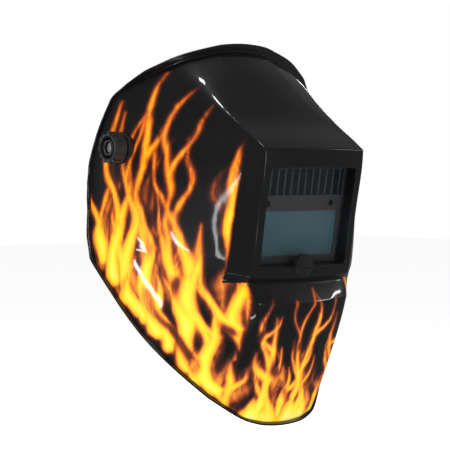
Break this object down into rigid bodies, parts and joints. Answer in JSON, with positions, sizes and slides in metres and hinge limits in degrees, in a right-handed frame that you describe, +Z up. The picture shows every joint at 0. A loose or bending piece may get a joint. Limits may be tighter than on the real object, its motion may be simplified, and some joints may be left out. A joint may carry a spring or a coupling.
{
  "type": "welding helmet",
  "caption": "Gloss black auto-darkening welding helmet with a flame pattern, a large window in a raised housing, and a ratchet headgear it tilts on.",
  "frame": {"origin": "midpoint of the tilt axis, between the two pivot bolts, inside the wearer's head", "axes": "+X to the wearer's left along the tilt axis, -Y forward through the window, +Z up; shell lowered"},
  "size_m": [0.2652, 0.2999, 0.3413],
  "materials": {
    "shell_gloss": "polished black nylon with a flame pattern",
    "badge_plastic": "blank satin disc",
    "clear_lens": "clear polycarbonate",
    "rubber_black": "soft seal",
    "case_plastic": "fine textured",
    "solar_cell": "amorphous solar strip",
    "sensor_lens": "dark lens",
    "filter_glass": "coated filter glass",
    "lcd_glass": "liquid crystal cell",
    "board": "solder mask",
    "steel": "zinc plated",
    "dial_plastic": "satin",
    "button_rubber": "satin",
    "frame_plastic": "moulded nylon",
    "washer_nylon": "natural nylon",
    "knob_plastic": "moulded, satin",
    "brass": "machined",
    "headgear_plastic": "moulded polypropylene",
    "sweat_fabric": "padded towelling"
  },
  "bodies": {
    "headgear": {"front_headband": "headgear_plastic", "side_arm_left": "headgear_plastic", "side_arm_right": "headgear_plastic", "arm_rivets": "headgear_plastic", "crown_strap_left": "headgear_plastic", "crown_strap_right": "headgear_plastic", "crown_pegs": "headgear_plastic", "crown_feet": "headgear_plastic", "sweatband": "sweat_fabric"},
    "nape": {"nape_band": "headgear_plastic", "ratchet_housing": "headgear_plastic", "ratchet_cover": "headgear_plastic", "housing_screws": "steel", "nape_pad": "sweat_fabric"},
    "ratchet": {"ratchet_knob": "knob_plastic", "ratchet_pinion": "washer_nylon", "knob_screw": "steel"},
    "carriage": {"slide_blocks": "frame_plastic", "pivot_bolts": "steel", "angle_stops": "frame_plastic"},
    "shell": {"helmet_shell": "shell_gloss", "badge_disc": "badge_plastic", "front_cover_lens": "clear_lens", "inner_cover_lens": "clear_lens", "lens_seal": "rubber_black", "filter_front_case": "case_plastic", "filter_rear_case": "case_plastic", "solar_panel": "solar_cell", "arc_sensors": "sensor_lens", "uv_ir_glass": "filter_glass", "lcd_cell": "lcd_glass", "circuit_board": "board", "coin_cell": "steel", "filter_holder": "frame_plastic", "holder_screws": "steel", "retainer_frame": "frame_plastic", "pivot_spacers": "frame_plastic", "friction_washers": "washer_nylon", "pivot_bushes": "washer_nylon", "spring_washers": "steel"},
    "left_knob": {"tension_knob_left": "knob_plastic", "knob_insert_left": "brass"},
    "right_knob": {"tension_knob_right": "knob_plastic", "knob_insert_right": "brass"},
    "battery_door": {"battery_cover": "case_plastic"},
    "shade_control": {"shade_dial": "dial_plastic"},
    "sensitivity_control": {"sensitivity_dial": "dial_plastic"},
    "delay_control": {"delay_dial": "dial_plastic"},
    "test_key": {"test_button": "button_rubber"},
    "lock": {"retainer_lock": "frame_plastic"}
  },
  "joints": [
    {"name": "reach_adjust", "type": "slide", "parent": "headgear", "child": "carriage", "axis": [0, -1, 0], "range_m": [-0.005, 0.005]},
    {"name": "shell_tilt", "type": "hinge", "parent": "carriage", "child": "shell", "pos_m": [0, 0, 0], "axis": [-1, 0, 0], "range_deg": [0, 85]},
    {"name": "left_knob_turn", "type": "hinge", "parent": "carriage", "child": "left_knob", "pos_m": [0.126, 0, 0], "axis": [1, 0, 0], "range_deg": [0, 360]},
    {"name": "right_knob_turn", "type": "hinge", "parent": "carriage", "child": "right_knob", "pos_m": [-0.126, 0, 0], "axis": [-1, 0, 0], "range_deg": [0, 360]},
    {"name": "band_size", "type": "slide", "parent": "headgear", "child": "nape", "axis": [0, -0.986, 0.1668], "range_m": [-0.022, 0.012]},
    {"name": "ratchet_turn", "type": "hinge", "parent": "nape", "child": "ratchet", "pos_m": [0, 0.15625, -0.05085], "axis": [0, 0.986, -0.1668], "range_deg": [-240, 240]},
    {"name": "shade_turn", "type": "hinge", "parent": "shell", "child": "shade_control", "pos_m": [0.037, -0.09617, -0.02877], "axis": [0, 0.9857, 0.1685], "range_deg": [-135, 135]},
    {"name": "sensitivity_turn", "type": "hinge", "parent": "shell", "child": "sensitivity_control", "pos_m": [0.014, -0.09617, -0.02877], "axis": [0, 0.9857, 0.1685], "range_deg": [-135, 135]},
    {"name": "delay_turn", "type": "hinge", "parent": "shell", "child": "delay_control", "pos_m": [-0.005, -0.09617, -0.02877], "axis": [0, 0.9857, 0.1685], "range_deg": [-135, 135]},
    {"name": "test_press", "type": "slide", "parent": "shell", "child": "test_key", "axis": [0, -0.9857, -0.1685], "range_m": [0, 0.0012], "stiffness_N_per_m": 300},
    {"name": "battery_cover_slide", "type": "slide", "parent": "shell", "child": "battery_door", "axis": [0, 0.1685, -0.9857], "range_m": [0, 0.011]},
    {"name": "lock_slide", "type": "slide", "parent": "shell", "child": "lock", "axis": [0, 0.1685, -0.9857], "range_m": [0, 0.004]}
  ],
  "couplings": [
    {"joint": "ratchet_turn", "follows": "band_size", "rad_per_m": 166.67}
  ]
}
